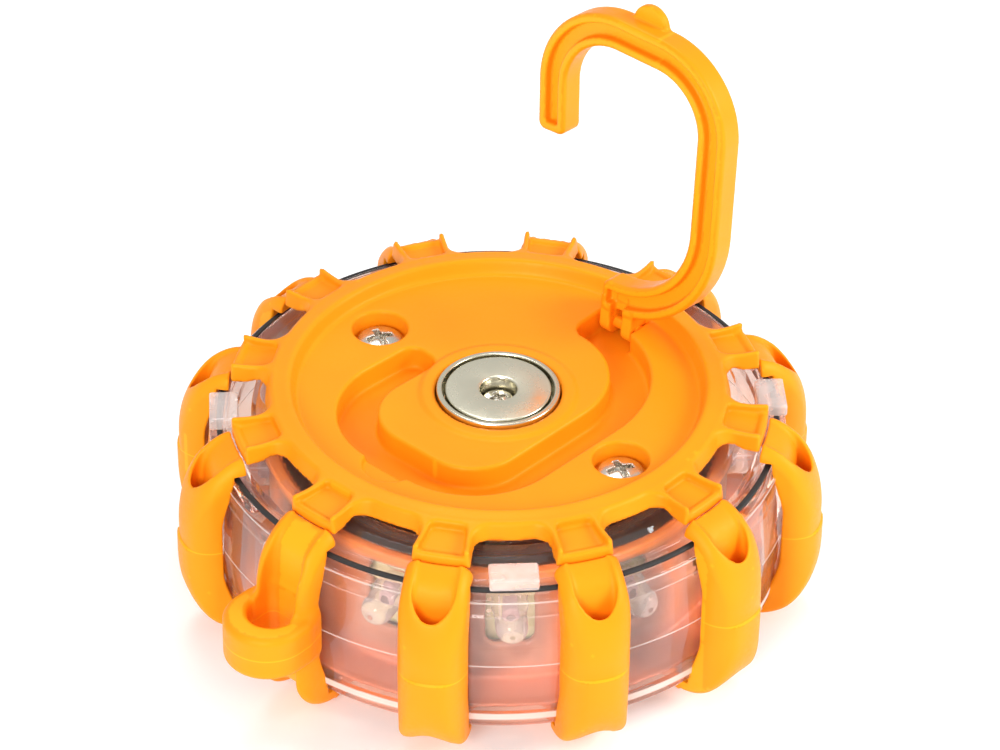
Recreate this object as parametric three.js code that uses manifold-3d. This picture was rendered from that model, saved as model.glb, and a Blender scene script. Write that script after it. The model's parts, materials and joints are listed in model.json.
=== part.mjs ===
// LED safety flare: a round clear lamp held in twelve soft bumper posts, with a fold-out hook and a magnet.
// Millimetres, +Z up. The origin is on the lamp's axis in the plane that it rests on, front face down.
// Posts stand at 15, 45, 75 ... degrees and windows lie between them at 0, 30, 60 ... degrees.
import * as THREE from "three";
import { mergeVertices } from "three/addons/utils/BufferGeometryUtils.js";
import Module from "manifold-3d";

const wasm = await Module();
wasm.setup();

// ---- driving dimensions ----
const DEG = Math.PI / 180;
const HEIGHT = 36;                    // the posts' and shells' middle level lies at half of this
const MIDDLE = HEIGHT / 2;            // the posts' and the clear body's widest level
const COUNT = 12;                     // posts, tabs, windows and side lamps
const PITCH = 360 / COUNT;
const GAP = 0.3;                      // air between neighbouring pieces

const TAB_R = 42;                     // outer end of a cover tab
const WINDOW_R = 35.5;                // inner edge of a cover window
const WINDOW_HALF = 9.3;              // half angle of a window
const WINDOW_FILLET = 2.6;
const RECESS_R = 31.2;                // round recess inside the cover's raised rim
const RECESS_Z = 34.9;
const RIM_Z = 37.3;                   // highest line of the rim
const POCKET_Z = 35;                  // floor of a tab pocket
const HORN_Z = 36.4;                  // outer tips of the ribs along a tab's edges

const HUB_R = 30.9;                   // thick middle of the back cover
const HUB_Z = 29.6;
const BOSS_R = 12.1;                  // raised ring round the magnet
const BOSS_Z = 35.2;
const SCREW_RADIUS = 25.2;            // the cover screws' distance from the axis
const SCREW_ANGLES = [135, 315];
const SCREW_SEAT_Z = 31.4;

const POST_HALF = 5.3;                // half width of a bumper post
const POST_R = 52.2;                  // outermost reach of a bumper post
const POST_IN_R = 42.4;               // inner end of a bumper post
const POST_RISE = 16.3;               // half height of a bumper post
const SLOT_HALF = 3.2;                // half width of the hollow in a post
const EAR_ANGLE = 225;
const EAR_R = 52;                     // centre of the lanyard loop's round end
const EAR_HALF = 6.8;
const EAR_RISE = 4;                   // half height of the lanyard loop

const SHELL_R = 46.2;                 // clear body at mid height
const SHELL_END_R = 45.1;             // clear body at its two ends
const SHELL_BORE_R = 42.9;
const SHELL_FLOOR = [4.6, 6.6];
const SHELL_TOP = 30.2;
const CAP_R = 42.6;                   // clear cap
const KEY_ANGLES = [0, 180, 270];     // the clear cap's keys

const HINGE_R = 28.5;                 // the hook's pin, from the axis
const HINGE_ANGLE = 45;
const HINGE_Z = 33.5;
const HOOK_RAISE = 95;                // how far the hook stands up from lying flat
const BAR_HALF = 2.7;                 // half width of the hook's bar
const BAR_THICK = 4.2;
const GROOVE_PLAY = 0.45;             // room round the folded hook
const PIN_R = 1;
const HOOK_CORNERS = [[2.1, 5.1], [-17.1, 5.1], [-15.7, 51], [17, 50.9], [15.3, 28.8]];
const HOOK_RADII = [17.6, 11.7, 12.3];

const LAMP_Z = 20.6;                  // height of the side lamps
const LAMP_BASE_R = 33.8;
const LAMP_LENGTH = 8.6;
const FRONT_LAMP_R = 18;
const FRONT_LAMP_ANGLES = [90, 210, 330];
const BEZEL_SCREW_R = 22;
const BEZEL_SCREW_ANGLES = [30, 150, 270];
const BOARD_Z = [14, 15.4];
const CELL_R = 5.25;
const CELL_LENGTH = 44.5;
const CELL_PITCH = 10.8;
const CELL_Z = 22.3;
const CELL_SHIFT = 1.9;               // each cell lies this far towards its plus end
const CELL_TURN = 45;

// ---- finishes ----
const finish = (color, roughness, metalness = 0, opacity = 1) =>
  new THREE.MeshStandardMaterial({ color, roughness, metalness, opacity, transparent: opacity < 1 });
const ORANGE = finish(0xfca628, 0.5);
const CLEAR = finish(0xf2e6e0, 0.08, 0, 0.35);
const NICKEL = finish(0xd8d5c8, 0.22, 1);
const STEEL = finish(0xb9bbbd, 0.35, 1);
const BLACK = finish(0x141414, 0.75);
const GREEN = finish(0x8f9c78, 0.5);
const SALMON = finish(0xd98f74, 0.55);
const LENS = finish(0xe8eaf0, 0.1, 0, 0.5);
const CELL = finish(0x2f6f4f, 0.4, 0.3);

// ---- shape helpers ----
const polar = (r, deg) => [r * Math.cos(deg * DEG), r * Math.sin(deg * DEG)];

/** A closed surface becomes a solid: shared corners merge, flat slivers go and the faces look outward. */
function toSolid(geometry) {
  const bare = geometry.clone();
  bare.deleteAttribute("normal");
  bare.deleteAttribute("uv");
  const merged = mergeVertices(bare, 1e-4);
  const at = merged.attributes.position.array;
  const kept = [];
  let volume = 0;
  for (let i = 0; i < merged.index.count; i += 3) {
    const [a, b, c] = merged.index.array.slice(i, i + 3);
    if (a === b || b === c || a === c) continue;
    const [p, q, r] = [a, b, c].map((k) => new THREE.Vector3().fromArray(at, 3 * k));
    volume += p.dot(q.cross(r));
    kept.push(a, b, c);
  }
  if (volume < 0) kept.reverse();
  return new wasm.Manifold(
    new wasm.Mesh({ numProp: 3, vertProperties: new Float32Array(at), triVerts: new Uint32Array(kept) }),
  );
}

/** A solid becomes a geometry that a mesh can show. */
function toGeometry(solid) {
  const { vertProperties, triVerts } = solid.getMesh();
  const geometry = new THREE.BufferGeometry();
  geometry.setAttribute("position", new THREE.BufferAttribute(new Float32Array(vertProperties), 3));
  geometry.setIndex(new THREE.BufferAttribute(new Uint32Array(triVerts), 1));
  geometry.computeVertexNormals();
  return geometry;
}

const join = (first, ...rest) => toGeometry(rest.reduce((sum, g) => sum.add(toSolid(g)), toSolid(first)));
const cut = (base, ...holes) =>
  toGeometry(holes.reduce((left, g) => left.subtract(toSolid(g)), toSolid(base)));
const common = (a, b) => toGeometry(toSolid(a).intersect(toSolid(b)));

/** An outline in plan becomes a prism between two heights. */
function prism(shape, z0, z1, curveSegments = 3) {
  const geometry = new THREE.ExtrudeGeometry(shape, { depth: z1 - z0, bevelEnabled: false, curveSegments });
  return geometry.translate(0, 0, z0);
}

/** A profile of [radius, height] points is turned round Z. */
function turned(profile, segments = 48) {
  const points = profile.map(([r, z]) => new THREE.Vector2(r, z));
  const closed = profile[0][0] > 0;
  if (closed) points.push(points[0].clone());
  return new THREE.LatheGeometry(points, segments).rotateX(Math.PI / 2);
}

const disc = (r, z0, z1, segments = 24) => turned([[0, z0], [r, z0], [r, z1], [0, z1]], segments);
const ring = (r0, r1, z0, z1, segments = 48) => turned([[r0, z0], [r1, z0], [r1, z1], [r0, z1]], segments);

function block(x, y, z) {
  const size = [x, y, z].map(([lo, hi]) => hi - lo);
  const middle = [x, y, z].map(([lo, hi]) => (hi + lo) / 2);
  return new THREE.BoxGeometry(...size).translate(...middle);
}

const outline = (points) => new THREE.Shape(points.map(([x, y]) => new THREE.Vector2(x, y)));
const spun = (geometry, deg) => geometry.clone().rotateZ(deg * DEG);
const moved = (geometry, r, deg) => geometry.clone().translate(...polar(r, deg), 0);
const each = (n, make) => Array.from({ length: n }, (_, k) => make(k));

/** A section drawn in [radius, height] becomes a wall that crosses the tangent at angle 0. */
function radialWall(section, half) {
  const geometry = new THREE.ExtrudeGeometry(outline(section), { depth: 2 * half, bevelEnabled: false });
  return geometry.translate(0, 0, -half).rotateX(Math.PI / 2);
}

/** A bar's centre line with filleted corners, widened to each side. Its end is cut short by endCut. */
function ribbon(corners, radii, half, endCut = 0, steps = 7) {
  const at = corners.map(([x, y]) => new THREE.Vector2(x, y));
  const last = at[at.length - 1];
  const before = at[at.length - 2];
  last.addScaledVector(last.clone().sub(before).normalize(), -endCut);
  const left = [];
  const right = [];
  const mark = (p, heading) => {
    const side = new THREE.Vector2(-heading.y, heading.x).multiplyScalar(half);
    left.push(p.clone().add(side));
    right.unshift(p.clone().sub(side));
  };
  mark(at[0], at[1].clone().sub(at[0]).normalize());
  for (let i = 1; i < at.length - 1; i += 1) {
    const into = at[i].clone().sub(at[i - 1]).normalize();
    const out = at[i + 1].clone().sub(at[i]).normalize();
    const turn = Math.atan2(into.cross(out), into.dot(out));
    const radius = radii[i - 1];
    const start = at[i].clone().addScaledVector(into, -radius * Math.tan(Math.abs(turn) / 2));
    const toCentre = new THREE.Vector2(-into.y, into.x).multiplyScalar(radius * Math.sign(turn));
    const centre = start.clone().add(toCentre);
    for (let k = 0; k <= steps; k += 1) {
      const angle = (turn * k) / steps;
      mark(start.clone().rotateAround(centre, angle), into.clone().rotateAround(new THREE.Vector2(), angle));
    }
  }
  mark(last, last.clone().sub(before).normalize());
  return new THREE.Shape([...left, ...right]);
}

// ---- covers ----
/** The toothed outline that both covers share: tabs with round window cuts between them. */
function toothedOutline() {
  const shape = new THREE.Shape();
  const softening = (WINDOW_FILLET / WINDOW_R) / DEG;
  shape.moveTo(...polar(TAB_R, WINDOW_HALF));
  for (let k = 0; k < COUNT; k += 1) {
    const from = k * PITCH + WINDOW_HALF;
    const to = (k + 1) * PITCH - WINDOW_HALF;
    const next = to + 2 * WINDOW_HALF;
    shape.absarc(0, 0, TAB_R, from * DEG, to * DEG, false);
    shape.lineTo(...polar(WINDOW_R + WINDOW_FILLET, to));
    shape.quadraticCurveTo(...polar(WINDOW_R, to), ...polar(WINDOW_R, to + softening));
    shape.absarc(0, 0, WINDOW_R, (to + softening) * DEG, (next - softening) * DEG, false);
    shape.quadraticCurveTo(...polar(WINDOW_R, next), ...polar(WINDOW_R + WINDOW_FILLET, next));
    shape.lineTo(...polar(TAB_R, next));
  }
  return shape;
}

const tabAngle = (k) => (k + 0.5) * PITCH;

/** The pocket in a tab, drawn at angle 0, cut upward from its floor. */
const tabPocket = () =>
  prism(outline([[35.9, -2.8], [40.9, -3.4], [40.9, 3.4], [35.9, 2.8]]), POCKET_Z, HEIGHT + 2);

/** The rib along each edge of a tab, which runs out from the rim and ends in a small horn. */
function tabRib(side) {
  const section = [[35, 34.8], [41.9, 34.8], [41.9, HORN_Z], [41, 36.3], [38.5, 36.1], [35.3, 36.9],
    [35, 36.9]];
  return radialWall(section, 0.5).rotateZ(side * 5.05 * DEG);
}

/** A domed plate with ribs, and the pockets to cut from it. It faces up; the bezel is one turned over. */
function toothedPlate(underside) {
  const crown = [[RECESS_R, RECESS_Z], [32.4, RIM_Z], [35.3, 36.95], [43, 35.3]];
  const dome = turned([...underside, ...crown.reverse(), [0, RECESS_Z]], 36);
  const plate = common(prism(toothedOutline(), 20, HEIGHT + 3), dome);
  const ribs = each(COUNT, (k) => [spun(tabRib(1), tabAngle(k)), spun(tabRib(-1), tabAngle(k))]).flat();
  return [join(plate, ...ribs), each(COUNT, (k) => spun(tabPocket(), tabAngle(k)))];
}

const COVER_UNDERSIDE = [[0, HUB_Z], [HUB_R, HUB_Z], [HUB_R, 33.4], [43, 33.4]];
const BEZEL_BACK = RIM_Z - SHELL_FLOOR[0] + GAP;
const BEZEL_UNDERSIDE = [[0, BEZEL_BACK], [43, BEZEL_BACK]];

/** From the hook's own frame, where it lies flat along +Y from its pin, to its place in the lamp. */
function hookPlace(geometry, raise) {
  return geometry.clone().rotateX(raise * DEG).rotateZ((HINGE_ANGLE + 90) * DEG)
    .translate(...polar(HINGE_R, HINGE_ANGLE), HINGE_Z);
}

const THUMB = { x: 0, y: 53.2, r: 3.3, z: [0.9, 2.1] };
const ARMS = [[0, 2.1], [-4.4, -2.3]];

function backCover() {
  const [plate, pockets] = toothedPlate(COVER_UNDERSIDE);
  const body = join(plate, disc(BOSS_R, HUB_Z + 1, BOSS_Z, 48));
  const floor = -BAR_THICK / 2 - 0.4;
  const corners = HOOK_CORNERS.map((p) => [...p]);
  corners[0][0] += GROOVE_PLAY;
  const groove = prism(ribbon(corners, HOOK_RADII, BAR_HALF + GROOVE_PLAY, -GROOVE_PLAY), floor, 6);
  const hingePocket = block([ARMS[1][0] - 0.5, ARMS[0][1] + 0.5], [-2.7, 6], [floor, 6]);
  const thumbScoop = disc(THUMB.r + 0.9, THUMB.z[0] - 0.3, 6).translate(THUMB.x, THUMB.y, 0);
  const pinSocket = disc(PIN_R + 0.2, -6.2, 3.9, 12).rotateY(Math.PI / 2);
  const hookCuts = [groove, hingePocket, thumbScoop, pinSocket].map((g) => hookPlace(g, 0));
  const screwCuts = SCREW_ANGLES.flatMap((a) => [
    moved(disc(4.4, SCREW_SEAT_Z, HEIGHT + 1), SCREW_RADIUS, a),
    moved(disc(1.8, HUB_Z - 1, HEIGHT, 12), SCREW_RADIUS, a),
  ]);
  const magnetCuts = [disc(9.95, 31, HEIGHT + 1, 36), disc(1.5, HUB_Z - 1, HEIGHT, 12)];
  return cut(body, ...pockets, ...hookCuts, ...screwCuts, ...magnetCuts);
}

/** The front bezel: the same toothed plate facing down, with a button hole and three lamp holes. */
function frontBezel() {
  const [plate, pockets] = toothedPlate(BEZEL_UNDERSIDE);
  const rest = ring(26, 30, 34, RIM_Z);
  const collar = ring(8, 11, 34, RIM_Z - 0.4, 36);
  const lampHoles = FRONT_LAMP_ANGLES.map((a) => moved(disc(5, 20, HEIGHT + 2, 20), FRONT_LAMP_R, -a));
  const screwHoles = BEZEL_SCREW_ANGLES.map((a) => moved(disc(1.5, 20, 34.2, 10), BEZEL_SCREW_R, -a));
  const buttonHole = turned([[0, 20], [9.2, 20], [9.2, 34.4], [8, 34.4], [8, HEIGHT + 2], [0, HEIGHT + 2]],
    36);
  const facingUp = cut(join(plate, rest, collar), ...pockets, ...lampHoles, ...screwHoles, buttonHole);
  return facingUp.rotateX(Math.PI).translate(0, 0, RIM_Z);
}

// ---- bumper posts ----
/** Everything that the posts reach round: the clear body, its seal and the covers' tab ends. */
const core = () => turned([[0, -2], [POST_IN_R, -2], [POST_IN_R, 4], [43.7, 4.3], [45.5, 6.1],
  [SHELL_R + GAP, MIDDLE], [45.35, 29.5], [44.9, 30.5], [44.3, 30.5], [44.3, 32], [POST_IN_R, 32],
  [POST_IN_R, HEIGHT + 2], [0, HEIGHT + 2]], 48);

/** A post seen from above: straight sides with a round outer end. */
function postPlan(half, reach) {
  const shape = new THREE.Shape();
  shape.moveTo(30, -half);
  shape.lineTo(reach - half, -half);
  shape.absarc(reach - half, 0, half, -Math.PI / 2, Math.PI / 2, false);
  shape.lineTo(30, half);
  return shape;
}

/** A post seen from the side: a brow that curves down from the cover, the same upside down below. */
function postProfile() {
  const brow = [[POST_IN_R, POST_RISE], [43.6, 16.1], [45.5, 15.1], [47.2, 13.7], [48.6, 12.2], [49.9, 10.4],
    [51.5, 7.7], [52.1, 5.5], [POST_R, 3.6]];
  const upper = brow.map(([r, rise]) => [r, MIDDLE + rise]);
  const lower = brow.map(([r, rise]) => [r, MIDDLE - rise]).reverse();
  return [...upper, ...lower];
}

function plainPost() {
  const side = [[30, MIDDLE + POST_RISE], ...postProfile(), [30, MIDDLE - POST_RISE]];
  const plan = prism(postPlan(POST_HALF, POST_R), 0, HEIGHT, 5);
  return cut(common(radialWall(side, POST_HALF), plan), core());
}

/** The scoop that hollows a post from one end: a chute that turns down into a deep round pocket. */
function scoop() {
  const chute = [[41, 33.4], [43.5, 33.2], [45.4, 31.9], [46.9, 29.8], [47.2, 23], [50.5, 23], [50.5, 38],
    [41, 38]];
  return common(radialWall(chute, SLOT_HALF), prism(postPlan(SLOT_HALF, 49.6), 0, HEIGHT + 4, 4));
}

function bumperPost() {
  const upper = scoop();
  const lower = upper.clone().rotateX(Math.PI).translate(0, 0, HEIGHT);
  return cut(plainPost(), upper, lower);
}

/** The post with the lanyard loop: its hollow runs right through and the loop closes it at mid height. */
function lanyardPost() {
  const plan = postPlan(EAR_HALF, EAR_R + EAR_HALF);
  const loop = cut(prism(plan, MIDDLE - EAR_RISE, MIDDLE + EAR_RISE, 6), core());
  const tall = [-1, HEIGHT + 1];
  const slot = common(prism(postPlan(3.5, 54.9), ...tall, 5), block([47.2, 60], [-4, 4], tall));
  return cut(join(plainPost(), loop), slot, scoop(), scoop().rotateX(Math.PI).translate(0, 0, HEIGHT));
}

// ---- clear shells and seal ----
function clearBody() {
  const shell = turned([[9.4, SHELL_FLOOR[0]], [43.4, SHELL_FLOOR[0]], [SHELL_END_R, 6.4], [SHELL_R, MIDDLE],
    [SHELL_END_R, 29.3], [44.6, SHELL_TOP], [SHELL_BORE_R, SHELL_TOP], [SHELL_BORE_R, SHELL_FLOOR[1]],
    [9.4, SHELL_FLOOR[1]]], 48);
  const towers = SCREW_ANGLES.map((a) => moved(disc(3.8, 5.6, 27.6, 16), SCREW_RADIUS, a));
  const bores = SCREW_ANGLES.map((a) => moved(disc(1.7, 8, 28, 10), SCREW_RADIUS, a));
  const bezelHoles = BEZEL_SCREW_ANGLES.map((a) => moved(disc(1.5, 3, 8, 10), BEZEL_SCREW_R, a));
  return cut(join(shell, ...towers), ...bores, ...bezelHoles);
}

function clearCap() {
  const dish = turned([[0, 27.9], [32.6, 27.9], [32.6, 30.4], [41, 30.4], [41, 28.6], [CAP_R, 28.6],
    [CAP_R, 31.7], [38.4, 31.7], [37.75, 32.3], [31.2, 32.3], [31.2, 29.25], [0, 29.25]], 48);
  const keys = KEY_ANGLES.map((a) => spun(block([40.5, 45], [-3.75, 3.75], [31.6, 33.6]), a));
  const holes = SCREW_ANGLES.map((a) => moved(disc(1.8, 27, 30, 12), SCREW_RADIUS, a));
  return cut(join(dish, ...keys), ...holes);
}

const sealRing = () => ring(43.1, 44, 30.35, 31);

// ---- hook ----
/** The hook lying flat in its own frame: pin along X, bar towards +Y, channelled face down. */
function hook() {
  const half = BAR_THICK / 2;
  const bar = prism(ribbon(HOOK_CORNERS, HOOK_RADII, BAR_HALF), -half, half);
  const arms = ARMS.flatMap(([lo, hi]) => [
    block([lo, hi], [0, 5], [-half, half]),
    disc(half, lo, hi, 16).rotateY(Math.PI / 2),
  ]);
  const thumb = disc(THUMB.r, ...THUMB.z, 20).translate(THUMB.x, THUMB.y, 0);
  const corners = HOOK_CORNERS.map((p) => [...p]);
  corners[0][0] -= 1;
  const channel = prism(ribbon(corners, HOOK_RADII, 1.3, 1.5), -half - 1, -half + 1.5);
  const lead = block([ARMS[1][1], ARMS[0][0]], [2, 5], [-half - 1, -half + 1.5]);
  const bore = disc(PIN_R + GAP, -6, 4, 12).rotateY(Math.PI / 2);
  return cut(join(bar, ...arms, thumb), channel, lead, bore);
}

const hookPin = () => disc(PIN_R, -5.9, 3.6, 12).rotateY(Math.PI / 2);

// ---- magnet and screws ----
const magnetCup = () => turned([[1.6, 31.2], [9.65, 31.2], [9.65, 35.8], [8.75, 35.8], [8.75, 32.4],
  [1.6, 32.4]], 36);
const magnet = () => ring(2.9, 8.3, 32.5, 35.7, 36);

/** A pan-head screw with a cross recess, its head's seat at height z. */
function crossScrew(headR, headHeight, shankR, length, z) {
  const blank = turned([[0, z - length], [shankR, z - length], [shankR, z], [headR, z],
    [headR, z + headHeight * 0.55], [headR * 0.72, z + headHeight], [0, z + headHeight]], 16);
  const arm = headR * 0.62;
  const slot = headR * 0.13;
  const top = [z + headHeight * 0.4, z + headHeight + 1];
  return cut(blank, block([-arm, arm], [-slot, slot], top), block([-slot, slot], [-arm, arm], top));
}

// ---- lamps, boards and switch ----
/** A round lamp along +Z from its flange: barrel with a domed end. */
function lamp(length) {
  const barrel = 2.5;
  const shoulder = length - barrel;
  const dome = [30, 60].map((a) => [barrel * Math.cos(a * DEG), shoulder + barrel * Math.sin(a * DEG)]);
  return turned([[0, 0], [2.9, 0], [2.9, 1], [barrel, 1], [barrel, shoulder], ...dome, [0, length]], 10);
}

const towerHoles = (z0, z1) => SCREW_ANGLES.map((a) => moved(disc(4.2, z0, z1, 16), SCREW_RADIUS, a));
const mainBoard = () => cut(disc(30, ...BOARD_Z, 48), ...towerHoles(10, 20));
const lampStrip = () => ring(33.45, 34.65, 13, 26, COUNT).rotateZ((PITCH / 2) * DEG);

/** The wall behind the side lamps, with a lid that reaches inwards and a floor that reaches outwards. */
function reflectorRing() {
  const openings = each(COUNT, (k) => spun(block([33, 38], [-3.75, 3.75], [14.3, 25.5]), k * PITCH));
  const wall = turned([[35.1, 6.9], [42.5, 6.9], [42.5, 7.5], [36.2, 7.5], [36.2, 27.4], [31.6, 27.4],
    [31.6, 26.9], [35.1, 26.9]]);
  return cut(wall, ...openings);
}

function tactSwitch() {
  const bore = disc(1.9, 9, 13.3, 12);
  return cut(block([-3, 3], [-3, 3], [10.6, 13.9]), bore);
}

const switchPlunger = () => disc(1.6, 9.4, 11.6, 12);

const pushButton = () => turned([[0, 0.5], [7, 0.5], [7.6, 1.1], [7.6, 3.1], [8.7, 3.1], [8.7, 3.6], [3, 3.6],
  [3, 9], [0, 9]], 32);

const buttonSeal = () => ring(3.3, 9.1, 5.3, 6.3, 32);

// ---- battery pack ----
function batteryTray() {
  const cup = turned([[0, 15.8], [31.2, 15.8], [31.2, 27.4], [30, 27.4], [30, 16.6], [0, 16.6]], 48);
  return cut(cup, ...towerHoles(10, 20));
}

/** A cell along +X with its plus nub first. */
function cell() {
  const half = CELL_LENGTH / 2;
  const profile = [[0, -half], [CELL_R, -half], [CELL_R, half - 1], [1.9, half - 1], [1.9, half], [0, half]];
  return turned(profile, 20).rotateY(Math.PI / 2);
}

const contactPlate = () => block([-0.25, 0.25], [-15.4, 15.4], [CELL_Z - 4.8, CELL_Z + 4.8]);

/** A tapering contact spring along +X. */
function contactSpring() {
  const turns = 3;
  const length = 3.2;
  const steps = 24;
  const points = each(steps + 1, (k) => {
    const along = k / steps;
    const radius = 3.6 - 1.8 * along;
    const angle = turns * 2 * Math.PI * along;
    return new THREE.Vector3(length * along, radius * Math.cos(angle), radius * Math.sin(angle));
  });
  const path = new THREE.CatmullRomCurve3(points);
  const wire = outline(each(5, (k) => polar(0.25, 72 * k)));
  return new THREE.ExtrudeGeometry(wire, { steps: 26, extrudePath: path });
}

// ---- assembly ----
const lampAssembly = new THREE.Group();

function add(name, geometry, material, place = () => {}) {
  const mesh = new THREE.Mesh(geometry, material);
  mesh.name = name;
  place(mesh);
  lampAssembly.add(mesh);
  return mesh;
}

const turnTo = (deg) => (mesh) => { mesh.rotation.z = deg * DEG; };
const number = (k) => String(k + 1).padStart(2, "0");

add("back_cover", backCover(), ORANGE);
add("front_bezel", frontBezel(), ORANGE);
for (let k = 0; k < COUNT; k += 1) {
  const angle = tabAngle(k);
  if (angle === EAR_ANGLE) add("lanyard_post", lanyardPost(), ORANGE, turnTo(angle));
  else add(`bumper_post_${number(k)}`, bumperPost(), ORANGE, turnTo(angle));
}
add("clear_body", clearBody(), CLEAR);
add("clear_cap", clearCap(), CLEAR);
add("seal_ring", sealRing(), BLACK);

add("hook", hookPlace(hook(), HOOK_RAISE), ORANGE);
add("hook_pin", hookPlace(hookPin(), 0), ORANGE);
add("magnet_cup", magnetCup(), NICKEL);
add("magnet", magnet(), NICKEL);
add("magnet_screw", crossScrew(2.5, 1.5, 1.2, 2.8, 32.6), STEEL);
SCREW_ANGLES.forEach((angle, k) => {
  const screw = moved(crossScrew(3.6, 1.9, 1.4, 15, SCREW_SEAT_Z), SCREW_RADIUS, angle);
  add(`cover_screw_${number(k)}`, screw, STEEL);
});
BEZEL_SCREW_ANGLES.forEach((angle, k) => {
  const screw = moved(crossScrew(2.6, 1.5, 1.2, 3.3, SHELL_FLOOR[1] + 0.1), BEZEL_SCREW_R, angle);
  add(`bezel_screw_${number(k)}`, screw, STEEL);
});

for (let k = 0; k < COUNT; k += 1) {
  const sideLamp = lamp(LAMP_LENGTH).rotateY(Math.PI / 2).translate(LAMP_BASE_R, 0, LAMP_Z);
  add(`side_lamp_${number(k)}`, sideLamp, LENS, turnTo(k * PITCH));
}
FRONT_LAMP_ANGLES.forEach((angle, k) => {
  const frontLamp = lamp(6.6).rotateX(Math.PI).translate(0, 0, BOARD_Z[0] - 0.2);
  add(`front_lamp_${number(k)}`, moved(frontLamp, FRONT_LAMP_R, angle), LENS);
});
add("lamp_strip", lampStrip(), GREEN);
add("main_board", mainBoard(), GREEN);
add("reflector_ring", reflectorRing(), SALMON);
add("tact_switch", tactSwitch(), STEEL);
add("switch_plunger", switchPlunger(), BLACK);
add("push_button", pushButton(), ORANGE);
add("button_seal", buttonSeal(), BLACK);

add("battery_tray", batteryTray(), BLACK);
const plateAt = CELL_LENGTH / 2 + CELL_SHIFT + 0.6;
for (const [name, side] of [["contact_plate_01", 1], ["contact_plate_02", -1]]) {
  add(name, contactPlate().translate(side * plateAt, 0, 0), STEEL, turnTo(CELL_TURN));
}
for (let k = 0; k < 3; k += 1) {
  const flip = k === 1 ? -1 : 1;
  const y = (k - 1) * CELL_PITCH;
  const turn = flip > 0 ? 0 : Math.PI;
  const lie = (g, x) => g.translate(x, 0, 0).rotateZ(turn).translate(0, y, CELL_Z);
  add(`battery_${number(k)}`, lie(cell(), CELL_SHIFT), CELL, turnTo(CELL_TURN));
  const spring = contactSpring();
  add(`contact_spring_${number(k)}`, lie(spring, 0.6 - plateAt), STEEL, turnTo(CELL_TURN));
}

export default lampAssembly;
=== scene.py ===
"""LED safety flare: the finished surfaces and materials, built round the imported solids.

Shapes are worked out in millimetres in the part's own frame and put into the meshes in metres.
Most mouldings are distance fields: a function that is negative inside the material and zero on its skin.
"""
import json
import math

import bpy
import numpy as np
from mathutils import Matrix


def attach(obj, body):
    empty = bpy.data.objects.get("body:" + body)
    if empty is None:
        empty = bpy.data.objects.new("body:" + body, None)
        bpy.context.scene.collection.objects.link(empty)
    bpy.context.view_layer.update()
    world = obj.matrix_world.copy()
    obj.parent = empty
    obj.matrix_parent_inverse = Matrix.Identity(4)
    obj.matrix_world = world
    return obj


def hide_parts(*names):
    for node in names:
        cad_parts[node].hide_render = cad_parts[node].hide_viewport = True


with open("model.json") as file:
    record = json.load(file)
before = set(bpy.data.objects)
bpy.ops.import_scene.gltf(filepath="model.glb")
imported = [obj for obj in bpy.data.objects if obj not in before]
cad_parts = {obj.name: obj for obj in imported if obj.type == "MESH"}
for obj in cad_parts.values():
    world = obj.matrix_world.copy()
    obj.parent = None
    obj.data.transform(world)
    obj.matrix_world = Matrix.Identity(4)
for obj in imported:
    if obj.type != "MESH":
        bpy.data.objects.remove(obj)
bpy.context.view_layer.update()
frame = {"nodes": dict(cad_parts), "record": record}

MM = 0.001
HEIGHT = 36.0
MIDDLE = HEIGHT / 2
COUNT = 12
PITCH = math.tau / COUNT
TAB_R = 42.0
WINDOW_R = 35.3
WINDOW_HALF = math.radians(9.3)
RIM_R = 32.6
RIM_Z = 37.3
RECESS_R = 31.2
RECESS_Z = 34.9
BOSS_R = 12.1
HUB_R = 31.1
HUB_UNDERSIDE = 29.6
GROOVE_Z = 31.0
HINGE_R = 28.5
HINGE = (HINGE_R * math.cos(math.pi / 4), HINGE_R * math.sin(math.pi / 4), 33.5)
HOOK_TURN = math.radians(135)
HOOK_RAISE = math.radians(95)
HOOK_CORNERS = ((2.1, 5.1), (-17.1, 5.1), (-15.7, 51.0), (17.0, 50.9), (15.3, 28.8))
HOOK_RADII = (17.6, 11.7, 12.3)
HOOK_HALF = 2.1
BAR_HALF = 2.7
THUMB_Y = 53.2
SCREW_R = 25.2
SCREW_ANGLES = (135, 315)
BEZEL_SCREW_R = 22
BEZEL_SCREW_ANGLES = (30, 150, 270)
REST_RING_R = 28
COLLAR_R = 9.5
FRONT_LAMP_R = 18
FRONT_LAMP_ANGLES = (90, 210, 330)
FRONT_LAMP_Z = 13.8
CLIP_ANGLES = (0, 180, 270)
LANYARD = 225
LAMP_R = 33.8
LAMP_Z = 20.6
LENS_R = 2.5
POST_R = 42.4
BROW_REACH = 9.8
BROW_RISE = 13.3
FAR = 1e3


# ---------------------------------------------------------------- distance fields
def either(a, b, fillet):
    """Both shapes together, with a round fillet in the inner corner where they meet."""
    grown = np.hypot(np.maximum(fillet - a, 0), np.maximum(fillet - b, 0))
    return np.maximum(fillet, np.minimum(a, b)) - grown


def both(a, b, round_off):
    """What two shapes have in common, with the edge where they meet rounded off."""
    grown = np.hypot(np.maximum(round_off + a, 0), np.maximum(round_off + b, 0))
    return np.minimum(-round_off, np.maximum(a, b)) + grown


def less(a, b, round_off):
    """The first shape with the second cut away, and the cut's rim rounded off."""
    return both(a, -b, round_off)


def ramp(low, high, value):
    """0 below low and 1 above high, with an S-shaped rise between them."""
    t = np.clip((value - low) / (high - low), 0, 1)
    return t * t * (3 - 2 * t)


def folded(x, y, offset):
    """The position along and beside the nearest of the twelve spokes, which start at the offset angle."""
    angle = np.arctan2(y, x) - offset
    angle = angle - PITCH * np.round(angle / PITCH)
    r = np.hypot(x, y)
    return r * np.cos(angle), np.abs(r * np.sin(angle))


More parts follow.
